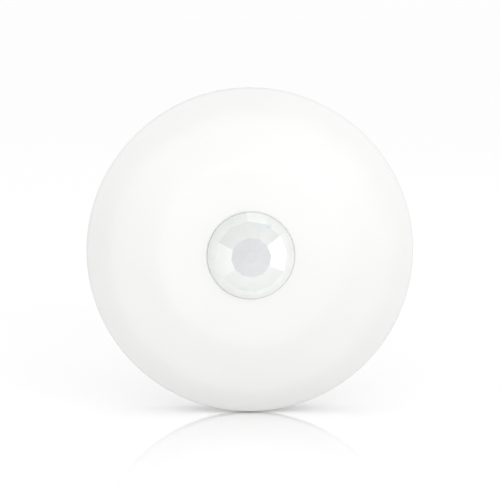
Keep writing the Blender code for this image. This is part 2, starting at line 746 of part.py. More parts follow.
def make_sensing_element(plastic, metal, window_finish, parent):
    """The pyroelectric sensor: a header with three leads, a can with a window, and a collar to stand on."""
    part("sensor_collar", tube(3.4, 5.2, BOARD_FRONT + 0.2, SENSOR_COLLAR_TOP), plastic, parent)
    header_back = SENSOR_COLLAR_TOP + 0.2
    header = part("sensor_header", cylinder(4.6, header_back, header_back + 0.8), metal, parent)
    leads = [polar(SENSOR_LEAD_RADIUS, angle) for angle in SENSOR_LEAD_ANGLES]
    join(header, *[cylinder(0.25, BOARD_BACK - 1.0, header_back + 0.4, 8, at) for at in leads])
    can_back = header_back + 1.0
    can_top = can_back + 3.6
    can = part(
        "sensor_can",
        lathe(
            [(3.8, can_back), (4.15, can_back), (4.15, can_top - 0.3), (3.85, can_top), (0, can_top),
             (0, can_top - 0.35), (3.8, can_top - 0.35)],
            ROUND_SEGMENTS,
        ),
        metal,
        parent,
    )
    cut(can, block(-2.3, 2.3, -1.9, 1.9, can_top - 1, can_top + 1))
    part("sensor_window", block(-2.7, 2.7, -2.3, 2.3, can_top - 1.1, can_top - 0.6), window_finish, parent)


def make_indicator(finish, parent):
    """A round indicator lamp that shows through the lens."""
    lamp = lathe(
        [
            (0, 13.9),
            (1.9, 13.9),
            (1.9, 14.9),
            (1.5, 14.9),
            (1.5, 17.6),
            (1.3, 18.4),
            (0.75, 18.95),
            (0, 19.1),
        ],
        SMALL_SEGMENTS,
    )
    part("indicator_lamp", lamp, finish, parent, (*LED_AT, 0))


def make_light_sensor(finish, parent):
    x, y = LIGHT_SENSOR_AT
    package = prism(rounded_rectangle(-1.6, 1.6, -1.4, 1.4, 0.4, 2), 13.9, 15.1)
    part("light_sensor", package, finish, parent, (x, y, 0))


def chip(name, finish, parent, at, size, height):
    """A moulded component on the front of the board, with a marked corner."""
    half_x, half_y = size[0] / 2, size[1] / 2
    back, front = BOARD_FRONT + GAP, BOARD_FRONT + GAP + height
    body = part(name, block(-half_x, half_x, -half_y, half_y, back, front), finish, parent, (*at, 0))
    cut(body, cylinder(0.5, front - 0.15, front + 1, 12, (-half_x + 1.2, half_y - 1.2)))


def make_board_components(dark_plastic, metal, parent):
    chip("microcontroller", dark_plastic, parent, (-17.0, 3.0), (7.0, 7.0), 1.0)
    chip("amplifier_chip", dark_plastic, parent, (-13.0, -7.0), (5.0, 4.0), 1.2)
    chip("radio_shield", metal, parent, (16.0, 14.5), (14.0, 11.0), 2.2)
    capacitor = lathe(
        [
            (0, 13.9),
            (3.15, 13.9),
            (3.15, 14.6),
            (2.95, 14.9),
            (3.15, 15.2),
            (3.15, 20.3),
            (2.8, 20.6),
            (0, 20.6),
        ],
        ROUND_SEGMENTS,
    )
    part("storage_capacitor", capacitor, metal, parent, (14.5, -6.5, 0))


def make_antenna(finish, parent):
    wire = coil(lambda share: 2.4, 0.8, -8.0, 8.0, 8, 10, 6)
    part("helical_antenna", rotated(wire, "Y", 90), finish, parent, (-16.0, 21.5, 17.2))


# ---------------------------------------------------------------- battery and its contacts


def make_battery(cell_finish, metal, parent):
    nub = 1.0
    half = BATTERY_LENGTH / 2
    cell = lathe(
        [
            (0, -half),
            (BATTERY_RADIUS - 0.5, -half),
            (BATTERY_RADIUS, -half + 0.5),
            (BATTERY_RADIUS, half - nub - 0.5),
            (BATTERY_RADIUS - 0.5, half - nub),
            (3.2, half - nub),
            (3.2, half),
            (0, half),
        ],
        ROUND_SEGMENTS + 8,
    )
    cell_at = (BATTERY_MIDDLE_X, BATTERY_Y, BATTERY_Z)
    part("battery_cell", rotated(cell, "Y", 90), cell_finish, parent, cell_at)
    plate_outer, plate_inner = BAY_HALF_LENGTH - 0.2, BAY_HALF_LENGTH - 0.6
    tab_low, tab_high = BOARD_FRONT + GAP, BOARD_FRONT + 2.4
    for name, side in (("battery_contact_positive", 1), ("battery_contact_negative", -1)):
        x0, x1 = sorted((side * plate_inner, side * plate_outer))
        y0, y1 = BATTERY_Y - 5.0, BATTERY_Y + BAY_HALF_WIDTH - 0.8
        contact = part(name, block(x0, x1, y0, y1, BATTERY_Z - 5.0, BATTERY_Z + 3.5), metal, parent)
        join(contact, block(x0 + 0.01, x1 - 0.01, y1 - 1.0, BOARD_NOTCH_TOP + 2.0, tab_low, tab_high))
    spring_end = BATTERY_MIDDLE_X - half - GAP
    spring_length = spring_end + plate_inner - GAP - 0.25
    spring = coil(lambda share: 3.6 - 1.6 * share, 0.5, 0.25, spring_length, 1.5, 12, 6)
    part(
        "battery_spring",
        rotated(spring, "Y", 90),
        metal,
        parent,
        (-plate_inner + GAP, BATTERY_Y, BATTERY_Z),
    )


# ---------------------------------------------------------------- parts that move in the housing


def make_learn_button(finish, switch_finish, parent):
    """The pairing button, pressed from behind. It runs in the floor and presses a switch under the board."""
    stem = lathe(
        [
            (0, FLOOR_BACK - 0.2),
            (2.2, FLOOR_BACK - 0.2),
            (2.5, FLOOR_BACK + 0.1),
            (2.5, FLOOR_FRONT + GAP),
            (3.6, FLOOR_FRONT + GAP),
            (3.6, FLOOR_FRONT + 1.0),
            (1.6, FLOOR_FRONT + 1.0),
            (1.6, SWITCH_BACK - 0.6),
            (0, SWITCH_BACK - 0.6),
        ],
        SMALL_SEGMENTS,
    )
    part("learn_button", stem, finish, parent, (*LEARN_AT, 0))
    x, y = LEARN_AT
    part("button_switch", block(-3, 3, -3, 3, SWITCH_BACK, SWITCH_FRONT), switch_finish, parent, (x, y, 0))


def make_mode_switch(finish, switch_finish, parent):
    """A two-position slide switch, worked by a fingernail from behind."""
    x, y = MODE_AT
    stem = block(-0.9, 0.9, -1.2, 1.2, FLOOR_BACK + 0.3, SWITCH_BACK - GAP)
    foot = part("mode_lever", stem, finish, parent, (x, y, 0))
    join(foot, block(-1.9, 1.9, -2.0, 2.0, FLOOR_FRONT + 0.4, FLOOR_FRONT + 1.4))
    body = block(-4.5, 4.5 + MODE_TRAVEL, -2.2, 2.2, SWITCH_BACK, SWITCH_FRONT)
    part("mode_switch", body, switch_finish, parent, (x, y, 0))


def make_tamper_switch(finish, metal, switch_finish, parent):
    """A plunger that rests on the mounting plate and drops when the housing is twisted off."""
    at = polar(TAMPER_RADIUS, TAMPER_ANGLE)
    tip_radius = 1.4
    dome = [
        (polar(tip_radius, angle)[0], TAMPER_REST_HEIGHT + tip_radius + polar(tip_radius, angle)[1])
        for angle in steps(-60, 0, 3)
    ]
    plunger = [
        (0, TAMPER_REST_HEIGHT),
        *dome,
        (tip_radius, 7.8),
        (2.8, 7.8),
        (2.8, 8.5),
        (0.9, 8.5),
        (0.9, 9.5),
        (0, 9.5),
    ]
    part("tamper_plunger", lathe(plunger, SMALL_SEGMENTS), finish, parent, (*at, 0))
    spring = coil(lambda share: 2.0, 0.35, 8.5 + 0.35, SWITCH_BACK - 0.35, 2, 10, 5)
    part("tamper_spring", spring, metal, parent, (*at, 0))
    body = block(-3, 3, -3, 3, SWITCH_BACK, SWITCH_FRONT)
    part("tamper_switch", body, switch_finish, parent, (*at, 0))


def main():
    for old in list(bpy.data.objects):
        bpy.data.objects.remove(old)
    white = material("white_plastic", (0.85, 0.85, 0.84), 0.42)
    lens = material("lens_plastic", (0.80, 0.82, 0.81), 0.18)
    grey = material("grey_plastic", (0.62, 0.62, 0.61), 0.5)
    dark = material("dark_plastic", (0.03, 0.03, 0.03), 0.45)
    green = material("board_green", (0.03, 0.22, 0.10), 0.4)
    steel = material("plated_steel", (0.72, 0.72, 0.70), 0.3, 1.0)
    copper = material("antenna_copper", (0.72, 0.40, 0.22), 0.3, 1.0)
    foam = material("pad_foam", (0.55, 0.55, 0.54), 0.9)
    cell = material("battery_wrap", (0.16, 0.17, 0.20), 0.35)
    lamp = material("lamp_resin", (0.45, 0.62, 0.85), 0.15)
    filter_glass = material("filter_window", (0.12, 0.13, 0.15), 0.12)

    sensor_axis = empty("sensor_axis")
    sensor_axis.rotation_euler = (math.pi / 2, 0, 0)
    housing_axis = empty("housing_axis", sensor_axis)

    make_mounting_plate(white, sensor_axis)
    make_adhesive_pads(foam, sensor_axis)
    make_rear_housing(white, housing_axis)
    make_battery_door(white, housing_axis)
    make_front_cover(white, housing_axis)
    make_lens(lens, housing_axis)
    make_lens_retainer(grey, housing_axis)
    make_screws(steel, housing_axis)
    make_circuit_board(green, housing_axis)
    make_sensing_element(dark, steel, filter_glass, housing_axis)
    make_indicator(lamp, housing_axis)
    make_light_sensor(filter_glass, housing_axis)
    make_board_components(dark, steel, housing_axis)
    make_antenna(copper, housing_axis)
    make_battery(cell, steel, housing_axis)
    make_learn_button(grey, dark, housing_axis)
    make_mode_switch(grey, dark, housing_axis)
    make_tamper_switch(grey, steel, dark, housing_axis)


main()
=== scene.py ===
"""Looks for the round motion sensor: fine meshes, procedural materials, floor, light and camera.

Lengths in the sensor's own frame are in millimetres: x to the right, y up and z out of the lens,
from the wall. world() turns such a point into the frame's metres, where the lens looks along -Y.
"""

import json
import math

import bmesh
import bpy
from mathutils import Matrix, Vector

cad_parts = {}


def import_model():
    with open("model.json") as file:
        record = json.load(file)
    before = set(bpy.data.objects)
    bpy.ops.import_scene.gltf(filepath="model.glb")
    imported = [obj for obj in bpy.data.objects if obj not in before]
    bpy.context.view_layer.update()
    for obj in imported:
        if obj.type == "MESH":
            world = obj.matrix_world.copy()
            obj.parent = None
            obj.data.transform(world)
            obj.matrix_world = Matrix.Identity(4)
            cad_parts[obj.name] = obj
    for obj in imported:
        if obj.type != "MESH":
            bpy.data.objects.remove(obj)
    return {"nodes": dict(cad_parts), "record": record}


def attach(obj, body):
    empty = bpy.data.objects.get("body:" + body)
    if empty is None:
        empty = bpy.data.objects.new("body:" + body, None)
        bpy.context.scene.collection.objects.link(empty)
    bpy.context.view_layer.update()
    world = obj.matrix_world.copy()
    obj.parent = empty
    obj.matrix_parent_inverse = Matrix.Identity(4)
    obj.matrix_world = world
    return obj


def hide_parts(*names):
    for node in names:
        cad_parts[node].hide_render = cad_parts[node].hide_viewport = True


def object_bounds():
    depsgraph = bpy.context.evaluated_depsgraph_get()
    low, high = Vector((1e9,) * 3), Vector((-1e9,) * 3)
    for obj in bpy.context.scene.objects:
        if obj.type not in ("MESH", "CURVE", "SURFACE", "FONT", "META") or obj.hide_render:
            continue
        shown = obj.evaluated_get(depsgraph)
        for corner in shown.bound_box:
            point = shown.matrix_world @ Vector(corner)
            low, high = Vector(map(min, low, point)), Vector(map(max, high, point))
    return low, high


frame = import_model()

CAD_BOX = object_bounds()
MM = 0.001

# The cover's curved face, as the CAD has it
BODY_RADIUS = 49.0
WIDEST_HEIGHT = 15.6
CROWN_HEIGHT = 26.0
COVER_WALL = 2.0
SEAM_HEIGHT = 9.7
SEAM_RADIUS = 48.6
GAP = 0.3
TONGUE_OUTER_RADIUS = 47.05
TONGUE_TOP = 11.8
PLATEAU_RADIUS = 27.6
SHOULDER_RADIUS = 42.2
EDGE_START_RADIUS = 48.1
PLATEAU_SLOPE = math.tan(math.radians(1.2))
CONE_SLOPE = math.tan(math.radians(18.0))
RIM_SLOPE = math.tan(math.radians(36.0))
BEND_SOFTNESS = 2.0
LENS_OPENING_RADIUS = 13.25

# The lens
LENS_TIP_HEIGHT = 31.2
LENS_RADIUS = 13.03
LENS_FLANGE_RADIUS = 15.6
LENS_SEAM = 0.03  # the gap round the lens
LENS_WALL = 0.8
LENS_SIDES = 12
LENS_PHASE = 6.0  # degrees; the first corner's angle
FACET_ANGLE = 360.0 / LENS_SIDES

FLOOR_GAP = 0.35  # keeps the floor clear of the rim, in millimetres

COVER_SEGMENTS = 256

# Camera: where the photograph was taken from
CAMERA_AZIMUTH = -1.5
CAMERA_ELEVATION = 8.0
CAMERA_DISTANCE = 1.1
CAMERA_LENS = 264.0
CAMERA_TARGET = Vector((0.0, -WIDEST_HEIGHT * MM, 0.0002))


# ---------------------------------------------------------------- mesh helpers


def polar(radius, degrees):
    angle = math.radians(degrees)
    return radius * math.cos(angle), radius * math.sin(angle)


def steps(start, end, count):
    return [start + (end - start) * i / count for i in range(count + 1)]


def world(x, y, z):
    """A point of the sensor's own frame, in millimetres, as a point of the shared frame, in metres."""
    return Vector((x * MM, -z * MM, y * MM))


def add_object(name, mesh, material, body, replaced):
    made = bpy.data.objects.new(name, mesh)
    bpy.context.scene.collection.objects.link(made)
    made.data.materials.append(material)
    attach(made, body)
    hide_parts(replaced)
    return made


def finish_mesh(name, shape, smooth_angle=35.0):
    """A bmesh as a mesh with faces pointing out and smooth shading below the given angle."""
    bmesh.ops.recalc_face_normals(shape, faces=shape.faces)
    mesh = bpy.data.meshes.new(name)
    shape.to_mesh(mesh)
    shape.free()
    mesh.shade_smooth()
    mesh.set_sharp_from_angle(angle=math.radians(smooth_angle))
    return mesh


def lathe(profile, segments):
    """Turns a closed (radius, z) profile about the sensor's axis."""
    shape = bmesh.new()
    angles = [360.0 * i / segments for i in range(segments)]
    rings = [[shape.verts.new(world(*polar(radius, angle), z)) for angle in angles] for radius, z in profile]
    for ring, after in zip(rings, rings[1:] + rings[:1]):
        for i in range(segments):
            j = (i + 1) % segments
            shape.faces.new([ring[i], ring[j], after[j], after[i]])
    return shape



# ---------------------------------------------------------------- material helpers


class Nodes:
    """Short ways to build one material's node tree."""

    def __init__(self, name):
        self.material = bpy.data.materials.new(name)
        self.material.use_nodes = True
        self.tree = self.material.node_tree
        self.shader = self.tree.nodes["Principled BSDF"]
        self.place = self.tree.nodes.new("ShaderNodeTexCoord").outputs["Object"]

    def set(self, **values):
        for name, value in values.items():
            self.shader.inputs[name.replace("_", " ")].default_value = value

    def link(self, source, target):
        self.tree.links.new(source, target)

    def noise(self, scale, detail=2.0, stretch=None):
        node = self.tree.nodes.new("ShaderNodeTexNoise")
        node.inputs["Scale"].default_value = scale
        node.inputs["Detail"].default_value = detail
        source = self.place
        if stretch:
            mapping = self.tree.nodes.new("ShaderNodeMapping")
            mapping.inputs["Scale"].default_value = stretch
            self.link(source, mapping.inputs["Vector"])
            source = mapping.outputs["Vector"]
        self.link(source, node.inputs["Vector"])
        return node.outputs["Fac"]

    def ranged(self, source, low, high, from_low=0.3, from_high=0.7):
        node = self.tree.nodes.new("ShaderNodeMapRange")
        node.inputs["From Min"].default_value = from_low
        node.inputs["From Max"].default_value = from_high
        node.inputs["To Min"].default_value = low
        node.inputs["To Max"].default_value = high
        self.link(source, node.inputs["Value"])
        return node.outputs["Result"]

    def mix(self, fac, first, second, blend="MIX"):
        node = self.tree.nodes.new("ShaderNodeMix")
        node.data_type = "RGBA"
        node.blend_type = blend
        values = (fac, first, second)
        for value, socket in zip(values, (node.inputs["Factor"], node.inputs["A"], node.inputs["B"])):
            target = socket
            if socket.name in "AB":
                target = next(i for i in node.inputs if i.name == socket.name and i.type == "RGBA")
            if isinstance(value, bpy.types.NodeSocket):
                self.link(value, target)
            elif isinstance(value, tuple):
                target.default_value = (*value, 1.0)
            else:
                target.default_value = value
        return next(o for o in node.outputs if o.type == "RGBA")

    def math(self, operation, first, second=0.0):
        node = self.tree.nodes.new("ShaderNodeMath")
        node.operation = operation
        for value, socket in ((first, node.inputs[0]), (second, node.inputs[1])):
            if isinstance(value, bpy.types.NodeSocket):
                self.link(value, socket)
            else:
                socket.default_value = value
        return node.outputs[0]

    def spot(self, place, size):
        """1 in the middle of a soft spot on the lens, and 0 outside it. Millimetres, as (x, y)."""
        mapping = self.tree.nodes.new("ShaderNodeMapping")
        mapping.inputs["Location"].default_value = (-place[0] / size[0], 0.0, -place[1] / size[1])
        mapping.inputs["Scale"].default_value = (1 / (size[0] * MM), 0.0, 1 / (size[1] * MM))
        self.link(self.place, mapping.inputs["Vector"])
        length = self.tree.nodes.new("ShaderNodeVectorMath")
        length.operation = "LENGTH"
        self.link(mapping.outputs["Vector"], length.inputs[0])
        return self.ranged(length.outputs["Value"], 1.0, 0.0, 0.5, 1.0)

    def bump(self, height, strength, distance, edge=0.0):
        """Small relief. edge rounds the look of sharp edges, in millimetres."""
        node = self.tree.nodes.new("ShaderNodeBump")
        if edge:
            rounding = self.tree.nodes.new("ShaderNodeBevel")
            rounding.samples = 4
            rounding.inputs["Radius"].default_value = edge * MM
            self.link(rounding.outputs["Normal"], node.inputs["Normal"])
        node.inputs["Strength"].default_value = strength
        node.inputs["Distance"].default_value = distance * MM
        self.link(height, node.inputs["Height"])
        self.link(node.outputs["Normal"], self.shader.inputs["Normal"])

    def colour(self, source):
        self.link(source, self.shader.inputs["Base Color"])

    def roughness(self, source):
        self.link(source, self.shader.inputs["Roughness"])


def moulded_plastic(
    name, colour, roughness=0.42, grain=2200.0, grain_height=0.012, variation=0.03, edge=0.0
):
    """Injection moulded plastic: a fine spark-eroded grain, slight flow marks and uneven gloss."""
    made = Nodes(name)
    darker = tuple(channel * (1 - variation) for channel in colour)
    flow = made.noise(28.0, 3.0)
    made.colour(made.mix(made.ranged(flow, 0.0, 1.0), darker, colour))
    gloss = made.noise(160.0, 2.0)
    made.roughness(made.ranged(gloss, roughness - 0.04, roughness + 0.05))
    made.bump(made.noise(grain, 1.5), 0.25, grain_height, edge)
    made.set(IOR=1.49)
    return made.material


def plated_metal(name, colour, roughness=0.28, stretch=(1.0, 1.0, 12.0)):
    """Bright plated metal with fine drawing lines and light tarnish."""
    made = Nodes(name)
    lines = made.noise(900.0, 2.0, stretch=stretch)
    tarnish = made.noise(240.0, 3.0)
    dull = tuple(channel * 0.78 for channel in colour)
    made.colour(made.mix(made.ranged(tarnish, 0.0, 1.0), dull, colour))
    made.roughness(made.ranged(lines, roughness - 0.06, roughness + 0.12))
    made.bump(lines, 0.2, 0.01)
    made.set(Metallic=1.0)
    return made.material


def board_material():
    """Green solder mask with the lighter pattern of the copper tracks under it."""
    made = Nodes("board_finish")
    tracks = made.tree.nodes.new("ShaderNodeTexBrick")
    tracks.inputs["Scale"].default_value = 420.0
    tracks.inputs["Mortar Size"].default_value = 0.035
    tracks.inputs["Color1"].default_value = (0.012, 0.12, 0.05, 1.0)
    tracks.inputs["Color2"].default_value = (0.016, 0.15, 0.065, 1.0)
    tracks.inputs["Mortar"].default_value = (0.05, 0.30, 0.13, 1.0)
    turn = made.tree.nodes.new("ShaderNodeMapping")
    turn.inputs["Rotation"].default_value = (math.radians(90), 0.0, 0.0)
    made.link(made.place, turn.inputs["Vector"])
    made.link(turn.outputs["Vector"], tracks.inputs["Vector"])
    cloud = made.ranged(made.noise(90.0, 3.0), 0.0, 0.4)
    made.colour(made.mix(cloud, tracks.outputs["Color"], (0.01, 0.09, 0.045)))
    made.bump(tracks.outputs["Fac"], 0.3, 0.03)
    made.roughness(made.ranged(made.noise(300.0), 0.25, 0.38))
    made.set(Coat_Weight=0.3, Coat_Roughness=0.2)
    return made.material


def lens_material():
    """Milky polyethylene. The mesh's colours show the dark inside through the middle and paint each facet's
    light and shade: painted highlights on the lit facets, painted shade on the others. Its UV map says how
    far each point is from its facet's middle, for the fine grooves."""
    made = Nodes("lens_finish")
    # The vertex colours carry the painted highlights and painted shade of the facets
    tint = made.tree.nodes.new("ShaderNodeVertexColor")
    tint.layer_name = "facet_painted_light"
    cloud = made.ranged(made.noise(260.0, 3.0), 0.965, 1.0)
    cloudy = made.tree.nodes.new("ShaderNodeMix")
    cloudy.data_type = "RGBA"
    cloudy.blend_type = "MULTIPLY"
    cloudy.inputs["Factor"].default_value = 1.0
    colour_inputs = [i for i in cloudy.inputs if i.type == "RGBA"]
    made.link(tint.outputs["Color"], colour_inputs[0])
    made.link(cloud, colour_inputs[1])
    shown = next(o for o in cloudy.outputs if o.type == "RGBA")
    for place, size, tone in GLIMPSES:
        shown = made.mix(made.spot(place, size), shown, tone, "MULTIPLY")
    made.colour(shown)
    facet = made.tree.nodes.new("ShaderNodeUVMap")
    facet.uv_map = "facet"
    length = made.tree.nodes.new("ShaderNodeVectorMath")
    length.operation = "LENGTH"
    made.link(facet.outputs["UV"], length.inputs[0])
    grooves = made.math("SINE", made.math("MULTIPLY", length.outputs["Value"], 2 * math.pi / 0.42))
    made.bump(grooves, 0.10, 0.02)
    made.roughness(made.ranged(made.noise(500.0), 0.10, 0.16))
    made.set(IOR=1.5, Specular_IOR_Level=0.35, Subsurface_Weight=0.15, Subsurface_Scale=0.0012)
    made.shader.inputs["Subsurface Radius"].default_value = (1.0, 0.95, 0.9)
    return made.material


def battery_material():
    """A dark printed wrap with a lighter band at one end. The cell lies along X."""
    made = Nodes("battery_finish")
    split = made.tree.nodes.new("ShaderNodeSeparateXYZ")
    made.link(made.place, split.inputs["Vector"])
    band = made.math("GREATER_THAN", split.outputs["X"], 6.0 * MM)
    fine_band = made.math("COMPARE", split.outputs["X"], 4.6 * MM)
    fine_band.node.inputs[2].default_value = 0.35 * MM
    base = made.mix(band, (0.05, 0.06, 0.085), (0.62, 0.46, 0.16))
    made.colour(made.mix(fine_band, base, (0.75, 0.75, 0.75)))
    made.roughness(made.ranged(made.noise(220.0), 0.22, 0.36))
    made.bump(made.noise(700.0, 3.0), 0.15, 0.01)
    made.set(Coat_Weight=0.5, Coat_Roughness=0.12)
    return made.material


def foam_material():
    """Grey foam tape with open cells, whose pits are painted darker as painted shade."""
    made = Nodes("pad_finish")
    cells = made.tree.nodes.new("ShaderNodeTexVoronoi")
    cells.inputs["Scale"].default_value = 1500.0
    made.link(made.place, cells.inputs["Vector"])
    # Painted shade: the cells' pits are painted darker
    painted_pore_shade = made.ranged(cells.outputs["Distance"], 0.0, 1.0, 0.0, 0.6)
    made.colour(made.mix(painted_pore_shade, (0.30, 0.30, 0.29), (0.5, 0.5, 0.49)))
    made.bump(cells.outputs["Distance"], 0.6, 0.08)
    made.set(Roughness=0.9)
    return made.material


def resin_material(name, colour):
    """Clear tinted resin or filter glass."""
    made = Nodes(name)
    deeper = tuple(channel * 0.8 for channel in colour)
    made.colour(made.mix(made.ranged(made.noise(400.0), 0.0, 1.0), deeper, colour))
    made.roughness(made.ranged(made.noise(300.0), 0.08, 0.14))
    made.set(IOR=1.52, Coat_Weight=0.6, Coat_Roughness=0.05)
    return made.material


# ---------------------------------------------------------------- cover


def past(radius, bend_radius):
    """How far a radius lies past a bend, or 0 before it, with a soft change between the two."""
    beyond = radius - bend_radius
    return (beyond + math.hypot(beyond, BEND_SOFTNESS)) / 2


def face_height(radius):
    """Height of the cover's outer face."""
    height = CROWN_HEIGHT - PLATEAU_SLOPE * (radius - LENS_OPENING_RADIUS)
    height -= (CONE_SLOPE - PLATEAU_SLOPE) * past(radius, PLATEAU_RADIUS)
    return height - (RIM_SLOPE - CONE_SLOPE) * past(radius, SHOULDER_RADIUS)


def inner_face_height(radius):
    """Height of the cover's inner face, a wall's thickness inside the outer one."""
    slope = (face_height(radius - 0.05) - face_height(radius + 0.05)) / 0.1
    return face_height(radius) - COVER_WALL * math.hypot(1.0, slope)


def arc(start, corner, end, count):
    """Points of a curve that leaves start towards corner and arrives at end."""
    a, b, c = Vector(start), Vector(corner), Vector(end)
    return [tuple(a * (1 - t) ** 2 + b * 2 * t * (1 - t) + c * t**2) for t in steps(0.0, 1.0, count)]


def make_cover(material):
    visual_opening = LENS_RADIUS + LENS_SEAM
    lip = 0.3
    outer = arc(
        (visual_opening, face_height(visual_opening) - lip),
        (visual_opening, face_height(visual_opening)),
        (visual_opening + lip, face_height(visual_opening + lip)),
        5,
    )
    outer += [(radius, face_height(radius)) for radius in steps(14.0, EDGE_START_RADIUS, 68)]
    outer += arc(
        (EDGE_START_RADIUS + 0.15, face_height(EDGE_START_RADIUS + 0.15)),
        (BODY_RADIUS - 0.02, face_height(BODY_RADIUS)),
        (BODY_RADIUS, WIDEST_HEIGHT),
        8,
    )
    foot = SEAM_HEIGHT + GAP
    outer += arc((SEAM_RADIUS + 0.03, foot + 0.4), (SEAM_RADIUS, foot), (SEAM_RADIUS - 0.4, foot), 4)
    side = 46.9
    seat = face_height(LENS_OPENING_RADIUS) - COVER_WALL
    inner = [(visual_opening, seat)]
    inner_radii = (17.2, 25.5, 28.0, 31.0, 39.0, 42.0, 44.5, side)
    inner += [(radius, inner_face_height(radius)) for radius in inner_radii]
    groove = TONGUE_OUTER_RADIUS + GAP
    lower = [(side, TONGUE_TOP + GAP), (groove, TONGUE_TOP + GAP), (groove, foot)]
    mesh = finish_mesh("cover_moulding", lathe(inner + lower + outer[::-1], COVER_SEGMENTS))
    return add_object("cover_moulding", mesh, material, "housing", "front_cover")


# ---------------------------------------------------------------- lens

# Painted light and shade of a facet, at its inner and its outer edge: a painted highlight on the lit facets,
# painted shade on the shaded ones, and lighter and darker painted tones at the left and below
LIT_FACET = (0.94, 0.94)
SHADED_FACET = (0.63, 0.6)
LEFT_FACET = (0.75, 0.7)
LOWER_FACET = (0.71, 0.68)
# Anticlockwise: one facet at the right, four over the top, two at the left, four below and one at the right
FACET_PAINTED_LIGHT = (
    LIT_FACET,
    *4 * (SHADED_FACET,),
    *2 * (LEFT_FACET,),
    *4 * (LOWER_FACET,),
    LIT_FACET,
)
# Painted light: the petals and the skirt are painted a little brighter at the bottom of the lens: level and
# swing
PETAL_TINT = (0.56, 0.035)
SKIRT_TINT = (0.69, 0.045)
BRIGHT_ANGLE = 290.0
# Painted highlight: the skirt's part above the indicator is painted brighter than its neighbours
GLINT_FACET = 2
SKIRT_GLINT = 0.05
MIDDLE_TINT = 0.56
HIDDEN_TINT = 0.6
# Where the grooves of a ring of facets are centred
PETAL_GROOVES = 3.9
FACET_GROOVES = 8.4
SKIRT_GROOVES = 12.0
INSIDE_RADIUS = 10.5  # the skirt's profile turns inwards past here, out of sight
# The lit indicator and dark parts behind the lens, blurred by it: place, size and tone
GLIMPSES = (
    ((3.2, 9.2), (1.9, 1.6), (0.975, 1.0, 1.025)),
    ((5.4, 9.1), (1.1, 0.9), (0.87, 0.905, 0.935)),
    ((-2.4, -9.6), (1.7, 0.8), (0.93, 0.955, 0.965)),
)
WARM = (0.985, 1.0, 0.985)
COOL = (0.965, 0.975, 1.0)


def tint_with_painted_light(facet, level, swing):
    """A facet's tint with painted light, which rises and falls by the swing round the lens."""
    middle = LENS_PHASE + FACET_ANGLE * (facet + 0.5)
    return level + swing * math.cos(math.radians(middle - BRIGHT_ANGLE))


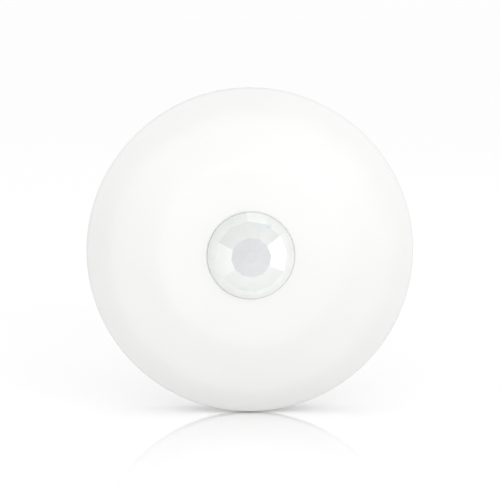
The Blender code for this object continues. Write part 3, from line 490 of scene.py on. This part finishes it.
def make_lens(material):
    """The dome: a small flat middle, a ring of petals, a ring of facets and a smooth skirt."""
    rings = (
        (1.7, LENS_TIP_HEIGHT - 0.06),
        (5.96, LENS_TIP_HEIGHT - 0.5),
        (10.64, LENS_TIP_HEIGHT - 2.6),
    )
    per_side = 4
    segments = LENS_SIDES * per_side
    shape = bmesh.new()
    colours = shape.loops.layers.float_color.new("facet_painted_light")
    places = shape.loops.layers.uv.new("facet")

    def polygon_ring(radius, z):
        corners = [polar(radius, LENS_PHASE + FACET_ANGLE * k) for k in range(LENS_SIDES)]
        ring = []
        for k in range(LENS_SIDES):
            x0, y0 = corners[k]
            x1, y1 = corners[(k + 1) % LENS_SIDES]
            for step in range(per_side):
                t = step / per_side
                ring.append(shape.verts.new(world(x0 + (x1 - x0) * t, y0 + (y1 - y0) * t, z)))
        return ring

    def round_ring(radius, z):
        angles = [LENS_PHASE + 360.0 * i / segments for i in range(segments)]
        return [shape.verts.new(world(*polar(radius, angle), z)) for angle in angles]

    def band(ring, after, tint_at, middle_radius):
        """Joins two rings. tint_at(facet, far) gives each corner's painted brightness and tone."""
        for i in range(segments):
            j = (i + 1) % segments
            facet = i // per_side
            face = shape.faces.new([ring[i], ring[j], after[j], after[i]])
            cx, cy = polar(middle_radius, LENS_PHASE + FACET_ANGLE * (facet + 0.5))
            for loop in face.loops:
                tint, tone = tint_at(facet, loop.vert in (after[i], after[j]))
                loop[colours] = (tint * tone[0], tint * tone[1], tint * tone[2], 1.0)
                loop[places].uv = (loop.vert.co.x / MM - cx, loop.vert.co.z / MM - cy)

    middle = polygon_ring(*rings[0])
    inner = polygon_ring(*rings[1])
    outer = polygon_ring(*rings[2])
    cap = shape.faces.new(middle)
    for loop in cap.loops:
        loop[colours] = (*(MIDDLE_TINT * channel for channel in COOL), 1.0)
        loop[places].uv = (loop.vert.co.x / MM, loop.vert.co.z / MM)
    # The petals, facets and skirt carry painted light and shade in their colours
    band(middle, inner, lambda facet, far: (tint_with_painted_light(facet, *PETAL_TINT), COOL), PETAL_GROOVES)
    band(inner, outer, lambda facet, far: (FACET_PAINTED_LIGHT[facet][far], WARM), FACET_GROOVES)

    def skirt_tint_with_painted_light(facet, far):
        glint = SKIRT_GLINT if facet == GLINT_FACET else 0.0
        return tint_with_painted_light(facet, *SKIRT_TINT) + glint, WARM

    def hidden_tint(facet, far):
        return HIDDEN_TINT, WARM

    flange_top = face_height(LENS_OPENING_RADIUS) - COVER_WALL - GAP
    flange_back = flange_top - LENS_WALL
    skirt = [
        (11.55, LENS_TIP_HEIGHT - 3.2),
        (12.35, LENS_TIP_HEIGHT - 3.95),
        (12.88, CROWN_HEIGHT + 0.75),
        (LENS_RADIUS, CROWN_HEIGHT + 0.1),
        (LENS_RADIUS, CROWN_HEIGHT - 0.15),
        (LENS_RADIUS + 0.3, CROWN_HEIGHT - 0.15),
        (LENS_RADIUS + 0.3, flange_top),
        (LENS_FLANGE_RADIUS, flange_top),
        (LENS_FLANGE_RADIUS, flange_back),
        (LENS_RADIUS - LENS_WALL, flange_back),
        (LENS_RADIUS - LENS_WALL, CROWN_HEIGHT + 0.3),
        (10.2, LENS_TIP_HEIGHT - 3.4),
        (5.8, LENS_TIP_HEIGHT - 1.35),
    ]
    last = outer
    for radius, z in skirt:
        ring = round_ring(radius, z)
        band(last, ring, skirt_tint_with_painted_light if radius > INSIDE_RADIUS else hidden_tint, SKIRT_GROOVES)
        last = ring
    inside = shape.verts.new(world(0.0, 0.0, LENS_TIP_HEIGHT - LENS_WALL))
    for i in range(segments):
        face = shape.faces.new([last[i], last[(i + 1) % segments], inside])
        for loop in face.loops:
            loop[colours] = (HIDDEN_TINT, HIDDEN_TINT, HIDDEN_TINT, 1.0)
    mesh = finish_mesh("lens_dome", shape, smooth_angle=14.0)
    return add_object("lens_dome", mesh, material, "housing", "fresnel_lens")


# ---------------------------------------------------------------- floor, light and camera


def make_floor():
    """A glossy white floor that mirrors the sensor faintly."""
    level = CAD_BOX[0].z - FLOOR_GAP * MM
    half = 3.0
    shape = bmesh.new()
    corners = ((-half, -half), (half, -half), (half, half), (-half, half))
    shape.faces.new([shape.verts.new((x, y, level)) for x, y in corners])
    mesh = bpy.data.meshes.new("floor")
    shape.to_mesh(mesh)
    shape.free()
    floor = bpy.data.objects.new("floor", mesh)
    bpy.context.scene.collection.objects.link(floor)
    made = Nodes("floor_finish")
    cloud = made.ranged(made.noise(3.0), 0.0, 1.0)
    made.colour(made.mix(cloud, (0.93, 0.93, 0.93), (0.95, 0.95, 0.95)))
    made.set(Roughness=0.06, IOR=1.45)
    floor.data.materials.append(made.material)


def direction(azimuth, elevation):
    """From the object towards a viewer at this azimuth and elevation."""
    a, e = math.radians(azimuth), math.radians(elevation)
    return Vector((math.sin(a) * math.cos(e), -math.cos(a) * math.cos(e), math.sin(e)))


def softbox(name, azimuth, elevation, distance, width, height, radiance):
    """A rectangular light that faces the object. radiance is how bright its surface is."""
    light = bpy.data.lights.new(name, "AREA")
    light.shape = "RECTANGLE"
    light.size = width
    light.size_y = height
    light.energy = radiance * math.pi * width * height
    made = bpy.data.objects.new(name, light)
    towards = direction(azimuth, elevation)
    made.location = towards * distance
    made.rotation_euler = towards.to_track_quat("Z", "Y").to_euler()
    made.visible_camera = False
    bpy.context.scene.collection.objects.link(made)


LIGHTS = {
    "softbox_front": dict(azimuth=4.0, elevation=6.0, distance=1.4, width=1.5, height=1.1, radiance=2.43),
    "softbox_key": dict(azimuth=38.0, elevation=36.0, distance=1.5, width=0.8, height=0.8, radiance=0.6),
    "softbox_right": dict(azimuth=62.0, elevation=8.0, distance=1.4, width=0.5, height=0.8, radiance=0.6),
    "softbox_left": dict(azimuth=-60.0, elevation=10.0, distance=1.4, width=0.5, height=0.8, radiance=0.4),
}
WORLD_STRENGTH = 1.0


def make_light():
    for name, facts in LIGHTS.items():
        softbox(name, **facts)
    sky = bpy.data.worlds.new("studio")
    sky.use_nodes = True
    sky.node_tree.nodes["Background"].inputs["Color"].default_value = (1.0, 1.0, 1.0, 1.0)
    sky.node_tree.nodes["Background"].inputs["Strength"].default_value = WORLD_STRENGTH
    bpy.context.scene.world = sky
    bpy.context.scene.view_settings.view_transform = "Standard"


def make_camera():
    camera = bpy.data.objects.new("camera", bpy.data.cameras.new("camera"))
    towards = direction(CAMERA_AZIMUTH, CAMERA_ELEVATION)
    camera.location = CAMERA_TARGET + towards * CAMERA_DISTANCE
    camera.rotation_euler = towards.to_track_quat("Z", "Y").to_euler()
    camera.data.lens = CAMERA_LENS
    camera.data.sensor_width = 36.0
    camera.data.clip_start = 0.01
    camera.data.clip_end = 20.0
    bpy.context.scene.collection.objects.link(camera)
    bpy.context.scene.camera = camera


# ---------------------------------------------------------------- everything


def main():
    cover_white = moulded_plastic("cover_finish", (0.69, 0.69, 0.685))
    white = moulded_plastic("white_plastic_finish", (0.66, 0.66, 0.655), edge=0.3)
    grey = moulded_plastic("grey_plastic_finish", (0.45, 0.45, 0.44), 0.5, edge=0.2)
    dark = moulded_plastic("dark_plastic_finish", (0.03, 0.03, 0.032), 0.45, 1500.0, edge=0.15)
    steel = plated_metal("steel_finish", (0.72, 0.72, 0.70))
    copper = plated_metal("copper_finish", (0.78, 0.42, 0.24))
    finishes = {
        "white_plastic": white,
        "lens_plastic": white,
        "grey_plastic": grey,
        "dark_plastic": dark,
        "board_green": board_material(),
        "plated_steel": steel,
        "antenna_copper": copper,
        "pad_foam": foam_material(),
        "battery_wrap": battery_material(),
        "lamp_resin": resin_material("lamp_finish", (0.35, 0.55, 0.85)),
        "filter_window": resin_material("filter_finish", (0.05, 0.055, 0.07)),
    }
    for part in frame["record"]["subparts"]:
        node = frame["nodes"][part["node"]]
        node.data.materials.clear()
        node.data.materials.append(finishes[part["material_slot"]])
    make_cover(cover_white)
    make_lens(lens_material())
    make_floor()
    make_light()
    make_camera()


main()
